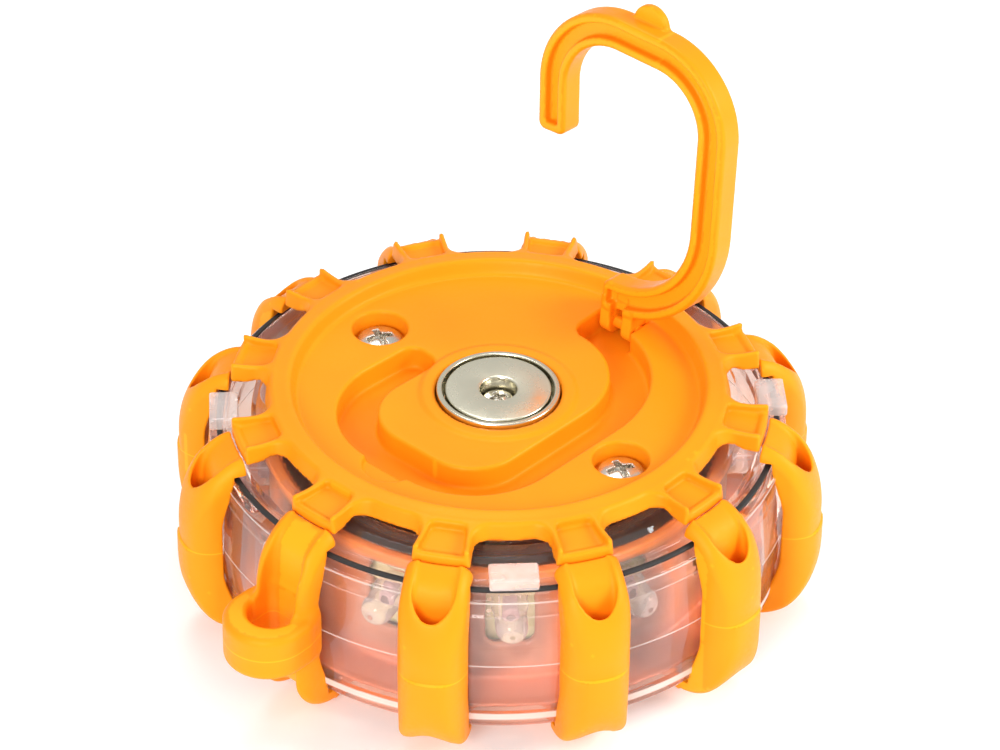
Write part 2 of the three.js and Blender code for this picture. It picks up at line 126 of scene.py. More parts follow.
# ---------------------------------------------------------------- meshes
def put(name, points, faces, body="lamp", stands_for=(), slot=None, material=None):
    """Points in millimetres and faces of one length become a piece that rides on a body."""
    mesh = bpy.data.meshes.new(name)
    faces = np.asarray(faces, dtype=np.int32)
    corners = faces.shape[1]
    mesh.vertices.add(len(points))
    mesh.vertices.foreach_set("co", (np.asarray(points, dtype=np.float64) * MM).astype(np.float32).ravel())
    mesh.loops.add(faces.size)
    mesh.loops.foreach_set("vertex_index", faces.ravel())
    mesh.polygons.add(len(faces))
    mesh.polygons.foreach_set("loop_start", np.arange(0, faces.size, corners, dtype=np.int32))
    mesh.polygons.foreach_set("use_smooth", np.full(len(faces), True))
    mesh.update(calc_edges=True)
    mesh.validate()
    piece = bpy.data.objects.new(name, mesh)
    bpy.context.scene.collection.objects.link(piece)
    mesh.materials.append(material)
    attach(piece, body)
    if stands_for:
        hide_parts(*stands_for)
    return piece


def skin(distance, low, high, step):
    """Points and faces of the skin where a distance field is zero.

    The field is worked out on a grid of that step. Each cell that the skin crosses gets one point, the mean
    of the crossings on its edges, which then slides down the field's slope onto the skin itself. Each grid
    edge that the skin crosses gets one four-sided face between the four cells round it.
    """
    low = np.asarray(low, dtype=float)
    size = np.ceil((np.asarray(high, dtype=float) - low) / step).astype(int) + 1
    axes = [low[k] + step * np.arange(size[k]) for k in range(3)]
    value = distance(*np.meshgrid(*axes, indexing="ij"))
    cells = tuple(size - 1)
    hits = np.zeros(cells, dtype=np.float32)
    total = np.zeros((3,) + cells, dtype=np.float32)
    crossings = []
    for axis in range(3):
        second, third = (axis + 1) % 3, (axis + 2) % 3
        near = np.take(value, range(size[axis] - 1), axis)
        far = np.take(value, range(1, size[axis]), axis)
        crossed = (near < 0) != (far < 0)
        share = np.where(crossed, near / np.where(crossed, near - far, 1), 0)
        crossings.append((crossed, near < 0))
        for p in (0, 1):
            for q in (0, 1):
                pick = [slice(None)] * 3
                pick[second] = slice(p, p + cells[second])
                pick[third] = slice(q, q + cells[third])
                here = crossed[tuple(pick)]
                hits += here
                total[axis] += here * share[tuple(pick)]
                total[second] += here * p
                total[third] += here * q
    active = hits > 0
    index = np.full(cells, -1, dtype=np.int64)
    index[active] = np.arange(active.sum())
    points = low + step * (np.argwhere(active) + (total[:, active] / hits[active]).T)
    points = settle(distance, points, step)
    faces = []
    for axis, (crossed, outward) in enumerate(crossings):
        second, third = (axis + 1) % 3, (axis + 2) % 3
        inner = [slice(None)] * 3
        inner[second] = slice(1, cells[second])
        inner[third] = slice(1, cells[third])
        chosen = crossed[tuple(inner)]
        facing = outward[tuple(inner)][chosen]
        ring = []
        for p, q in ((0, 0), (1, 0), (1, 1), (0, 1)):
            pick = [slice(None)] * 3
            pick[second] = slice(p, p + cells[second] - 1)
            pick[third] = slice(q, q + cells[third] - 1)
            ring.append(index[tuple(pick)][chosen])
        quads = np.stack(ring, axis=1)
        faces.append(np.where(facing[:, None], quads, quads[:, ::-1]))
    return points, np.concatenate(faces)


def settle(distance, points, step, rounds=4, probe=0.02):
    """Points slide down the field's slope onto the skin, at most a third of a step in each round."""
    for _ in range(rounds):
        value = distance(*points.T)
        slope = np.stack([
            (distance(*(points + probe * unit).T) - distance(*(points - probe * unit).T)) / (2 * probe)
            for unit in np.eye(3)
        ], axis=1)
        steep = np.maximum((slope ** 2).sum(axis=1), 0.05)
        move = slope * (value / steep)[:, None]
        length = np.maximum(np.linalg.norm(move, axis=1), 1e-9)
        points = points - move * np.minimum(1, step / 3 / length)[:, None]
    return points


def turned(profile, segments=192):
    """Points and faces of a profile turned round Z. Each profile point is (radius, height, round-off).

    A corner's round-off is an arc in six steps between the two straight stretches. The profile is closed:
    its last point joins its first, and a stretch on the axis becomes a pole at each of its ends."""
    outline = rounded(profile)
    on_axis = outline[:, 0] < 1e-6
    has_poles = bool(on_axis.any())
    rings = outline
    if has_poles:
        first = int(np.argmax(~on_axis & np.roll(on_axis, 1)))
        rings = np.roll(outline, -first, axis=0)
        rings = rings[rings[:, 0] > 1e-6]
    angle = math.tau * np.arange(segments) / segments
    grid = np.stack([
        rings[:, 0, None] * np.cos(angle), rings[:, 0, None] * np.sin(angle),
        np.broadcast_to(rings[:, 1, None], (len(rings), segments)),
    ], axis=-1)
    points = grid.reshape(-1, 3)
    rows = len(rings)
    row = np.arange(rows - 1 if has_poles else rows)[:, None] * segments
    upper = ((np.arange(len(row)) + 1) % rows)[:, None] * segments
    column = np.arange(segments)[None, :]
    after = (column + 1) % segments
    faces = np.stack([row + column, row + after, upper + after, upper + column], axis=-1).reshape(-1, 4)
    if has_poles:
        poles = np.array([[0, 0, rings[0, 1]], [0, 0, rings[-1, 1]]])
        points = np.concatenate([points, poles])
        low_pole, high_pole = len(points) - 2, len(points) - 1
        ring = np.arange(segments)
        following = (ring + 1) % segments
        last = (rows - 1) * segments
        caps = np.concatenate([
            np.stack([following, ring, np.full(segments, low_pole), np.full(segments, low_pole)], axis=1),
            np.stack([last + ring, last + following, np.full(segments, high_pole),
                      np.full(segments, high_pole)], axis=1),
        ])
        faces = np.concatenate([faces, caps])
    return points, faces


def rounded(profile, steps=6):
    """An outline's corners become arcs: each starts and ends as far from the corner as its radius needs."""
    outline = []
    total = len(profile)
    for k, (r, z, radius) in enumerate(profile):
        corner = np.array([r, z], dtype=float)
        if radius <= 0:
            outline.append(corner)
            continue
        before = np.array(profile[k - 1][:2], dtype=float) - corner
        after = np.array(profile[(k + 1) % total][:2], dtype=float) - corner
        before /= np.linalg.norm(before)
        after /= np.linalg.norm(after)
        half = math.acos(np.clip(before @ after, -1, 1)) / 2
        reach = radius / math.tan(half)
        middle = corner + (before + after) / np.linalg.norm(before + after) * radius / math.sin(half)
        start = corner + before * reach - middle
        end = corner + after * reach - middle
        sweep = math.atan2(start[0] * end[1] - start[1] * end[0], start @ end)
        for t in np.linspace(0, 1, steps):
            c, s = math.cos(sweep * t), math.sin(sweep * t)
            outline.append(middle + np.array([c * start[0] - s * start[1], s * start[0] + c * start[1]]))
    return np.array(outline)


def spun(points, degrees):
    """Points turned round Z."""
    a = math.radians(degrees)
    turn = np.array([[math.cos(a), math.sin(a), 0], [-math.sin(a), math.cos(a), 0], [0, 0, 1]])
    return points @ turn


def laid_out(points):
    """A turned shape's own Z becomes the outward direction at angle 0."""
    return points[:, [2, 0, 1]]


def facing_down(points):
    """A turned shape's own Z becomes the downward direction."""
    return points * (1, -1, -1)


# ---------------------------------------------------------------- covers
def toothed_plate(x, y, z, underside):
    """The domed plate that both covers share, seen from outside with its ribs up.

    The top climbs from the round recess over a soft step onto the rim, then falls towards the tab ends along
    a line with a slight dip. Windows are round-cornered wedges with leaning walls. Each tab has a pocket with
    a sloping floor, open at a low outer lip, so that a rib is left along each of its edges."""
    r = np.hypot(x, y)
    along, beside = folded(x, y, 0)
    depth = np.maximum(RIM_Z - z, 0)
    side = beside * math.cos(WINDOW_HALF) - along * math.sin(WINDOW_HALF)
    window = both(WINDOW_R + 0.36 * depth - r, side + 0.1 * depth, 2.7)
    plan = both(r - TAB_R - 0.15, -window, 0.4)
    run = np.clip((r - 35.0) / 7.0, 0, 1)
    top = 36.98 - 0.45 * run - 0.42 * np.sin(math.pi * run)
    top = top + (RIM_Z - 36.98) * ramp(35.0, RIM_R, r)
    top = np.where(r < RIM_R, RECESS_Z + (RIM_Z - RECESS_Z) * ramp(RECESS_R, RIM_R, r), top)
    plate = both(both(plan, (z - top) * 0.9, 0.35), underside - z, 0.25)
    along, beside = folded(x, y, PITCH / 2)
    pocket_side = beside - 2.8 - 0.13 * (along - 36)
    floor = 35.3 - 0.1 * (along - 36)
    pocket = both(both(np.maximum(35.8 - along, along - 41.0), pocket_side, 0.8), floor - z, 0.35)
    notch = both(np.maximum(40.3 - along, pocket_side), 35.3 - z, 0.25)
    return less(less(plate, pocket, 0.25), notch, 0.25)


def from_hinge(x, y):
    """Plan position in the folded hook's own frame: pin along its X, bar towards its Y."""
    dx, dy = x - HINGE[0], y - HINGE[1]
    c, s = math.cos(HOOK_TURN), math.sin(HOOK_TURN)
    return c * dx + s * dy, c * dy - s * dx


def hook_centre():
    """The bar's centre line as straight stretches and arcs: ("line", start, end) and ("arc", centre, ...)."""
    at = [np.array(p, dtype=float) for p in HOOK_CORNERS]
    start = at[0]
    parts = []
    for k in range(1, len(at) - 1):
        into = (at[k] - at[k - 1]) / np.linalg.norm(at[k] - at[k - 1])
        out = (at[k + 1] - at[k]) / np.linalg.norm(at[k + 1] - at[k])
        turn = math.atan2(into[0] * out[1] - into[1] * out[0], into @ out)
        reach = HOOK_RADII[k - 1] * math.tan(abs(turn) / 2)
        arc_start, arc_end = at[k] - into * reach, at[k] + out * reach
        centre = arc_start + np.array([-into[1], into[0]]) * HOOK_RADII[k - 1] * math.copysign(1, turn)
        parts.append(("line", start, arc_start))
        parts.append(("arc", centre, arc_start - centre, arc_end - centre, HOOK_RADII[k - 1]))
        start = arc_end
    parts.append(("line", start, at[-1]))
    return parts


HOOK_PARTS = hook_centre()


def bar_plan(x, y, half, start_trim, end_trim, round_off):
    """How far a plan point is outside a bar of that half width that follows the hook's centre line.

    A trim cuts that end short, or lengthens it when negative, with its corners rounded off."""
    nearest = np.full(np.shape(x), FAR)
    last = len(HOOK_PARTS) - 1
    for k, part in enumerate(HOOK_PARTS):
        if part[0] == "arc":
            _, centre, first, second, radius = part
            px, py = x - centre[0], y - centre[1]
            way = math.copysign(1, first[0] * second[1] - first[1] * second[0])
            past_first = way * (first[0] * py - first[1] * px) >= 0
            before_second = way * (px * second[1] - py * second[0]) >= 0
            beside_arc = np.abs(np.hypot(px, py) - radius) - half
            gap = np.where(past_first & before_second, beside_arc, FAR)
            nearest = np.minimum(nearest, gap)
            continue
        _, first, second = part
        length = np.linalg.norm(second - first)
        ux, uy = (second - first) / length
        along = (x - first[0]) * ux + (y - first[1]) * uy
        aside = np.abs((y - first[1]) * ux - (x - first[0]) * uy)
        low = -FAR if k == 0 else 0
        high = FAR if k == last else length
        past = np.maximum(low - along, along - high)
        gap = np.hypot(aside, np.maximum(past, 0)) - half
        if k == 0:
            gap = both(gap, start_trim - along, round_off)
        if k == last:
            gap = both(gap, along - length + end_trim, round_off)
        nearest = np.minimum(nearest, gap)
    return nearest


def back_cover(x, y, z):
    """The toothed plate on its thick hub, with the hook's groove, hinge pocket, thumb scoop, screw wells,
    the raised ring and the magnet's seat."""
    r = np.hypot(x, y)
    hub = np.maximum(np.maximum(r - HUB_R, HUB_UNDERSIDE - z), z - 34.4)
    underside = 33.4 + 0.9 * ramp(33.6, 34.6, r) * ramp(40, 37, r)
    shape = np.minimum(toothed_plate(x, y, z, underside), hub)
    ring_top = z - (RECESS_Z + 0.4 * ramp(BOSS_R + 0.35, BOSS_R - 0.15, r))
    shape = np.where(r < BOSS_R + 1, np.maximum(np.maximum(ring_top, HUB_UNDERSIDE - z), r - 30), shape)
    hx, hy = from_hinge(x, y)
    clearance = 0.45
    groove = bar_plan(hx, hy, BAR_HALF + clearance, -clearance, -clearance, 2.4)
    groove = both(groove, GROOVE_Z - z, 0.6)
    pocket = both(np.maximum(-4.95 - hx, hx - 2.65), np.maximum(-2.7 - hy, hy - 6), 0.5)
    pocket = np.maximum(both(pocket, GROOVE_Z - z, 0.3), r - 30.6)
    thumb = both(np.hypot(hx, hy - THUMB_Y) - 4.3, 33.9 - z, 0.5)
    shape = less(shape, np.minimum(groove, pocket), 0.45)
    shape = less(shape, thumb, 0.4)
    for angle in SCREW_ANGLES:
        a = math.radians(angle)
        gap = np.hypot(x - SCREW_R * math.cos(a), y - SCREW_R * math.sin(a))
        shape = less(shape, both(gap - 4.4, 31.4 - z, 0.3), 0.35)
    return less(shape, both(r - 9.95, GROOVE_Z - z, 0.2), 0.25)


def front_bezel(x, y, z):
    """The toothed plate turned to face down, with a flat resting ring, a collar round the button, three lamp
    holes and three screw holes."""
    up = RIM_Z - z
    r = np.hypot(x, y)
    shape = toothed_plate(x, y, up, 33.0)
    shape = either(shape, both(np.abs(r - REST_RING_R) - 2, np.maximum(up - RIM_Z, 33.5 - up), 0.3), 0.4)
    shape = either(shape, both(np.abs(r - COLLAR_R) - 1.5, np.maximum(up - 36.9, 33.5 - up), 0.4), 0.5)
    for angle in FRONT_LAMP_ANGLES:
        a = math.radians(angle)
        gap = np.hypot(x - FRONT_LAMP_R * math.cos(a), y - FRONT_LAMP_R * math.sin(a))
        shape = less(shape, gap - 5.0 - 0.8 * ramp(34, 35, up), 0.3)
    for angle in BEZEL_SCREW_ANGLES:
        a = math.radians(angle)
        gap = np.hypot(x - BEZEL_SCREW_R * math.cos(a), y - BEZEL_SCREW_R * math.sin(a))
        shape = less(shape, both(gap - 1.5, up - 34.2, 0.1), 0.1)
    bore = np.where(up < 34.4, 9.2, 8.0)
    return less(shape, r - bore, 0.25)


# ---------------------------------------------------------------- bumper posts
def post_body(x, y, z):
    """A post at angle 0 before it is hollowed, a D-shaped column under a curved brow, and each point's
    distance from mid height.

    The brow is the curve ((r - 42.4) / 9.8)^p + ((height - 3) / 13.3)^p = 1 above and below mid height, with
    p = 1.65 above and 2 below."""
    up = np.abs(z - MIDDLE)
    power = np.where(z > MIDDLE, 1.65, 2.0)
    out = np.maximum(x - POST_R, 1e-3) / BROW_REACH
    rise = np.maximum(up - 3, 1e-3) / BROW_RISE
    level = out ** power + rise ** power
    slope = np.hypot(out ** (power - 1) / BROW_REACH, rise ** (power - 1) / BROW_RISE)
    brow = (level - 1) / np.maximum(power * slope, 0.05)
    half = 5.32 - 0.3 * (up / 16.4) ** 2
    column = np.where(x > 46.9, np.hypot(x - 46.9, y) - half, np.abs(y) - half)
    shape = both(column, brow, np.where(z > MIDDLE, 2.2, 1.0))
    return both(shape, post_back(x, y, up), 0.25), up


def post_back(x, y, up):
    """Outside the post's back face, which stands clear of the tab end, the seal and the clear wall."""
    r = np.hypot(x, y)
    wall = np.where(up > 13.9, POST_R, 44.3 + 2.2 * (1 - ramp(4, 14, up)))
    return wall - r


def chute(x, y, up, half, reach):
    """The hollow in a post's end. Its inner wall is r = 47.2 - 4.8 e^(-(16 - height) / 1.9), which turns from
    flat to steep."""
    inner = 47.2 - 4.8 * np.exp(-np.maximum(16 - up, 0) / 1.9)
    centre = reach - half
    plan = np.where(x > centre, np.hypot(x - centre, y) - half, np.abs(y) - half)
    return both(both(plan, inner - x, 0.9), 5.5 - up, 1.5)


def bumper_post(x, y, z):
    """A post with a chute in each end."""
    shape, up = post_body(x, y, z)
    return less(shape, chute(x, y, up, 3.3, 49.6), 0.4)


def lanyard_post(x, y, z):
    """A post whose hollow runs right through, with a round loop at mid height that closes it."""
    shape, up = post_body(x, y, z)
    shape = less(shape, chute(x, y, up, 3.2, 49.6), 0.55)
    loop = np.where(x > 52, np.hypot(x - 52, y) - 6.8, np.abs(y) - (6.8 - 1.4 * ramp(50, 45, x)))
    loop = both(both(loop, up - 4, 1.2), 46.9 - np.hypot(x, y), 0.2)
    shape = either(shape, loop, 1.5)
    hole = np.where(x > 51.1, np.hypot(x - 51.1, y) - 3.75, np.abs(y) - 3.6)
    hole = both(hole, 47.2 - x, 1.5)
    return less(shape, hole, 0.9)


# ---------------------------------------------------------------- hook
def hook_body(x, y, z):
    """The folded hook in its own frame, channelled face down, with two arms and a thumb bump."""
    shape = both(bar_plan(x, y, BAR_HALF, 0, 0, 1.4), np.abs(z) - HOOK_HALF, 0.65)
    for arm_low, arm_high in ((0, 2.1), (-4.4, -2.3)):
        across = np.abs(x - (arm_low + arm_high) / 2) - (arm_high - arm_low) / 2
        block = np.maximum(np.maximum(-y, y - 5), np.abs(z) - HOOK_HALF)
        barrel = np.hypot(y, z) - HOOK_HALF
        shape = either(shape, both(np.minimum(block, barrel), across, 0.3), 0.4)
    bump = both(np.hypot(x, y - THUMB_Y) - 3.3, np.maximum(0.8 - z, z - HOOK_HALF), 0.35)
    shape = either(shape, bump, 0.5)
    channel = both(bar_plan(x, y, 1.2, 1.0, 1.6, 0.4), z + 0.6, 0.35)
    lead = both(np.maximum(np.maximum(-2.35 - x, x - 0.05), np.maximum(1.4 - y, y - 5.4)), z + 0.6, 0.3)
    return less(less(shape, channel, 0.35), lead, 0.3)


def at_hinge(points, lift):
    """From the hook's own frame to its place on the hinge, lifted from lying flat by that angle."""
    c, s = math.cos(lift), math.sin(lift)
    x, y, z = points.T
    y, z = c * y - s * z, s * y + c * z
    c, s = math.cos(HOOK_TURN), math.sin(HOOK_TURN)
    return np.stack([c * x - s * y + HINGE[0], s * x + c * y + HINGE[1], z + HINGE[2]], axis=1)


# ---------------------------------------------------------------- inside
def cap_clip(x, y, z):
    """A key on the clear cap at angle 0: a block whose edges are rounded off."""
    return both(both(np.abs(x - 42.75) - 2.25, np.abs(y) - 3.75, 0.4), np.abs(z - 32.6) - 1, 0.35)


def inner_wall(x, y, z):
    """The wall behind the side lamps, with a round-cornered opening for each lamp, a lid that reaches inwards
    and a floor that reaches outwards."""
    r = np.hypot(x, y)
    wall = np.maximum(np.abs(r - 35.65) - 0.55, np.abs(z - 17.35) - 10.45)
    along, beside = folded(x, y, 0)
    opening = both(beside - 3.75, np.abs(z - 19.9) - 5.6, 1.6)
    lid = np.maximum(np.abs(r - 33.0) - 3.2, np.abs(z - 27.6) - 0.22)
    foot = np.maximum(np.abs(r - 38.9) - 3.6, np.abs(z - 7.2) - 0.3)
    return either(less(wall, opening, 0.2), np.minimum(lid, foot), 0.5)


# ---------------------------------------------------------------- turned pieces
def body_shell():
    """The clear drum: a front disc with a hole for the button, and a wall that bulges at mid height."""
    return turned([
        (9.4, 4.6, 0.2), (44.2, 4.6, 0.9), (45.1, 5.8, 0.8), (46.2, MIDDLE, 0), (45.1, 29.3, 0.3),
        (45.0, 29.75, 0.3), (43.2, 29.75, 0.2), (43.2, 30.2, 0.1), (42.9, 30.2, 0.1), (42.9, 25.7, 0.3),
        (43.3, 25.1, 0.3), (43.9, MIDDLE, 0), (43.4, 8.2, 1.2), (42.9, 6.6, 0.4), (9.4, 6.6, 0.2)])


def cap_shell():
    """The clear rear cap: a disc, a raised step round it and a skirt that drops into the drum."""
    return turned([
        (0, 27.9, 0), (32.6, 27.9, 0.3), (32.6, 30.4, 0.3), (41, 30.4, 0.2), (41, 28.6, 0.2),
        (42.6, 28.6, 0.2), (42.6, 31.65, 0.25), (38.5, 31.65, 0.3), (37.75, 32.35, 0.3),
        (31.2, 32.35, 0.2), (31.2, 29.25, 0.3), (0, 29.25, 0)])


def seal():
    return turned([(43.1, 30.35, 0.2), (44.0, 30.35, 0.3), (44.0, 31.0, 0.3), (43.1, 31.0, 0.2)])


def magnet_cup():
    return turned([
        (1.6, 31.2, 0), (9.65, 31.2, 0.3), (9.65, 35.8, 0.25), (8.8, 35.8, 0.2), (8.8, 32.4, 0.1),
        (1.6, 32.4, 0)])


def magnet():
    return turned([(2.9, 32.5, 0.1), (8.3, 32.5, 0.2), (8.3, 35.7, 0.3), (2.9, 35.7, 0.35)])


def button():
    """A push button facing down: a face inside a raised rim, a flange that keeps it in and a stem."""
    return turned([
        (0, 0.95, 0), (5.4, 0.9, 0.8), (6.3, 0.5, 0.5), (7.0, 0.5, 0.4), (7.6, 1.1, 0.3), (7.6, 3.1, 0),
        (8.7, 3.1, 0.15), (8.7, 3.6, 0.15), (3, 3.6, 0.2), (3, 9, 0.2), (0, 9, 0)])


def hinge_pin():
    """The hook's pin in its place on the hinge, along the folded hook's own X."""
    points, faces = turned([(0, -5.9, 0), (1, -5.9, 0.2), (1, 3.6, 0.2), (0, 3.6, 0)], 40)
    return at_hinge(laid_out(points), 0), faces


def lens(length):
    """A lamp's barrel along +Z, with its flange at zero and a half-round end."""
    shoulder = length - LENS_R
    angles = np.radians(np.arange(10, 90, 10))
    dome = [(LENS_R * math.cos(a), shoulder + LENS_R * math.sin(a), 0) for a in angles]
    return turned([(0, 0, 0), (2.9, 0, 0.1), (2.9, 1, 0.1), (LENS_R, 1, 0), (LENS_R, shoulder, 0), *dome,
                   (0, length, 0)], 48)


def die():
    """The small body that shows inside a lamp's barrel."""
    return turned([(0, 0.6, 0), (1.0, 0.6, 0.1), (1.2, 3.4, 0.2), (0.8, 3.9, 0.2), (0, 3.7, 0)], 40)


# ---------------------------------------------------------------- screws
def cross_head(radius, height):
    """A screw head from z = 0: a shallow dome with a tapering cross recess."""
    def field(x, y, z):
        r = np.hypot(x, y)
        dome = z - height * (1 - 0.35 * (r / radius) ** 2)
        head = both(both(r - radius, -z, 0.1), dome, 0.25)
        taper = 0.62 * radius - 0.35 * (height - z)
        width = 0.13 * radius + 0.05 * (z - height * 0.3)
        arms = np.minimum(np.maximum(np.abs(x) - taper, np.abs(y) - width),
                          np.maximum(np.abs(y) - taper, np.abs(x) - width))
        arms = np.minimum(arms, np.abs(x) + np.abs(y) - 0.34 * radius)
        recess = both(arms, height * 0.25 - z, 0.08)
        return less(head, recess, 0.07)
    return field


# ---------------------------------------------------------------- materials
class Nodes:
    """A short way to place and join the nodes of one material or group."""

    def __init__(self, tree):
        self.tree = tree

    def add(self, kind, inputs=(), **settings):
        node = self.tree.nodes.new(kind)
        for key, value in settings.items():
            setattr(node, key, value)
        for key, value in dict(inputs).items():
            if isinstance(value, bpy.types.NodeSocket):
                self.tree.links.new(value, node.inputs[key])
            else:
                node.inputs[key].default_value = value
        return node

    def math(self, operation, a, b=0.0):
        return self.add("ShaderNodeMath", {0: a, 1: b}, operation=operation).outputs[0]

    def mix(self, share, a, b):
        node = self.add("ShaderNodeMix", {"Factor": share}, data_type="RGBA")
        for key, value in ((6, a), (7, b)):
            if isinstance(value, bpy.types.NodeSocket):
                self.tree.links.new(value, node.inputs[key])
            else:
                node.inputs[key].default_value = value
        return node.outputs[2]

    def noise(self, where, scale, detail=2.0):
        node = self.add("ShaderNodeTexNoise", {"Vector": where, "Scale": scale, "Detail": detail})
        return node.outputs["Fac"]

    def from_axis(self, where):
        """How far a place is from the lamp's upright axis."""
        flat = self.add("ShaderNodeVectorMath", {0: where, 1: (1, 1, 0)}, operation="MULTIPLY").outputs[0]
        return self.add("ShaderNodeVectorMath", {0: flat}, operation="LENGTH").outputs["Value"]

    def spread(self, value, low, high, to_low=0.0, to_high=1.0):
        node = self.add("ShaderNodeMapRange", {"Value": value, "From Min": low, "From Max": high,
                                               "To Min": to_low, "To Max": to_high})
        return node.outputs[0]


def new_group(name, inputs, outputs):
    """An empty shader group with named number or colour sockets."""
    tree = bpy.data.node_groups.new(name, "ShaderNodeTree")
    for label, value in inputs:
        kind = "NodeSocketColor" if isinstance(value, tuple) else "NodeSocketFloat"
        tree.interface.new_socket(label, in_out="INPUT", socket_type=kind).default_value = value
    for label, kind in outputs:
        tree.interface.new_socket(label, in_out="OUTPUT", socket_type=kind)
    nodes = Nodes(tree)
    return tree, nodes, nodes.add("NodeGroupInput"), nodes.add("NodeGroupOutput")


def moulded_finish():
    """Colour, roughness and height of a satin moulding: soft colour drift, fine grain, sharp edges made paler
    as a painted highlight, and a mould seam in that paler colour at one height, which a height below zero
    leaves out."""
    tree, nodes, given, result = new_group(
        "moulded_finish",
        [("Colour", (1.0, 0.4, 0.03, 1.0)), ("Deep", (0.9, 0.3, 0.02, 1.0)), ("Edge Highlight And Seam", (1.0, 0.5, 0.05, 1.0)),
         ("Roughness", 0.4), ("Seam Height", -1.0)],
        [("Colour", "NodeSocketColor"), ("Roughness", "NodeSocketFloat"), ("Height", "NodeSocketFloat")])
    where = nodes.add("ShaderNodeTexCoord").outputs["Object"]
    drift = nodes.noise(where, 60.0)
    grain = nodes.noise(where, 1400.0, 3.0)
    colour = nodes.mix(nodes.spread(drift, 0.35, 0.7), given.outputs["Colour"], given.outputs["Deep"])
    # Painted highlight: sharp edges, found by pointiness, are lightened towards the paler edge colour.
    edge = nodes.add("ShaderNodeNewGeometry").outputs["Pointiness"]
    colour = nodes.mix(nodes.spread(edge, 0.54, 0.72, 0.0, 0.6), colour, given.outputs["Edge Highlight And Seam"])
    rough = nodes.math("ADD", given.outputs["Roughness"], nodes.spread(grain, 0.3, 0.7, -0.05, 0.07))
    level = nodes.add("ShaderNodeSeparateXYZ", {0: where}).outputs["Z"]
    off = nodes.math("ABSOLUTE", nodes.math("SUBTRACT", level, given.outputs["Seam Height"]))
    seam = nodes.spread(off, 0.00004, 0.0002, 1.0, 0.0)
    # The mould seam takes the same paler colour.
    colour = nodes.mix(nodes.math("MULTIPLY", seam, 0.75), colour, given.outputs["Edge Highlight And Seam"])
    height = nodes.math("ADD", nodes.math("MULTIPLY", grain, 0.25), nodes.math("MULTIPLY", seam, 3.0))
    tree.links.new(colour, result.inputs["Colour"])
    tree.links.new(rough, result.inputs["Roughness"])
    tree.links.new(height, result.inputs["Height"])
    return tree


def handled_metal():
    """Roughness, tone and height of plated metal: turning marks round the axis, smears and fine pits."""
    tree, nodes, given, result = new_group(
        "handled_metal",
        [("Colour", (0.7, 0.68, 0.64, 1.0)), ("Worn", (0.5, 0.47, 0.42, 1.0)), ("Roughness", 0.2)],
        [("Colour", "NodeSocketColor"), ("Roughness", "NodeSocketFloat"), ("Height", "NodeSocketFloat")])
    where = nodes.add("ShaderNodeTexCoord").outputs["Object"]
    radius = nodes.from_axis(where)
    marks = nodes.noise(nodes.add("ShaderNodeCombineXYZ", {"X": radius}).outputs[0], 5200.0, 4.0)
    smear = nodes.noise(where, 240.0, 4.0)
    pits = nodes.noise(where, 2600.0, 2.0)
    wear = nodes.spread(smear, 0.42, 0.75, 0.0, 0.55)
    colour = nodes.mix(wear, given.outputs["Colour"], given.outputs["Worn"])
    rough = nodes.math("ADD", given.outputs["Roughness"], nodes.spread(smear, 0.3, 0.75, -0.04, 0.12))
    height = nodes.math("ADD", nodes.math("MULTIPLY", marks, 0.5), nodes.math("MULTIPLY", pits, 0.3))
    tree.links.new(colour, result.inputs["Colour"])
    tree.links.new(rough, result.inputs["Roughness"])
    tree.links.new(height, result.inputs["Height"])
    return tree


MOULDED = moulded_finish()
METAL = handled_metal()


def new_material(name):
    material = bpy.data.materials.new(name)
    material.use_nodes = True
    material.node_tree.nodes.clear()
    nodes = Nodes(material.node_tree)
    return material, nodes, nodes.add("ShaderNodeOutputMaterial")


def finish_from(nodes, group, inputs, strength, distance, shader):
    """A Principled shader fed by a finish group, with its height as a bump."""
    source = nodes.add("ShaderNodeGroup", node_tree=group)
    for key, value in inputs.items():
        source.inputs[key].default_value = value
    relief = nodes.add("ShaderNodeBump", {"Height": source.outputs["Height"], "Strength": strength,
                                          "Distance": distance})
    return nodes.add("ShaderNodeBsdfPrincipled", {
        **shader, "Base Color": source.outputs["Colour"], "Roughness": source.outputs["Roughness"],
        "Normal": relief.outputs[0]})


def moulded(name, colour, deep, edge, roughness, seam=-1.0, **shader):
    material, nodes, output = new_material(name)
    # The paler edge colour is a painted highlight on sharp edges and also colours the seam.
    shader_node = finish_from(nodes, MOULDED, {
        "Colour": (*colour, 1), "Deep": (*deep, 1), "Edge Highlight And Seam": (*edge, 1), "Roughness": roughness,
        "Seam Height": seam}, 0.12, 0.0002, shader)
    nodes.tree.links.new(shader_node.outputs[0], output.inputs["Surface"])
    return material


def metal(name, colour, worn, roughness):
    material, nodes, output = new_material(name)
    shader_node = finish_from(nodes, METAL, {
        "Colour": (*colour, 1), "Worn": (*worn, 1), "Roughness": roughness}, 0.05, 0.0001, {"Metallic": 1.0})
    nodes.tree.links.new(shader_node.outputs[0], output.inputs["Surface"])
    return material


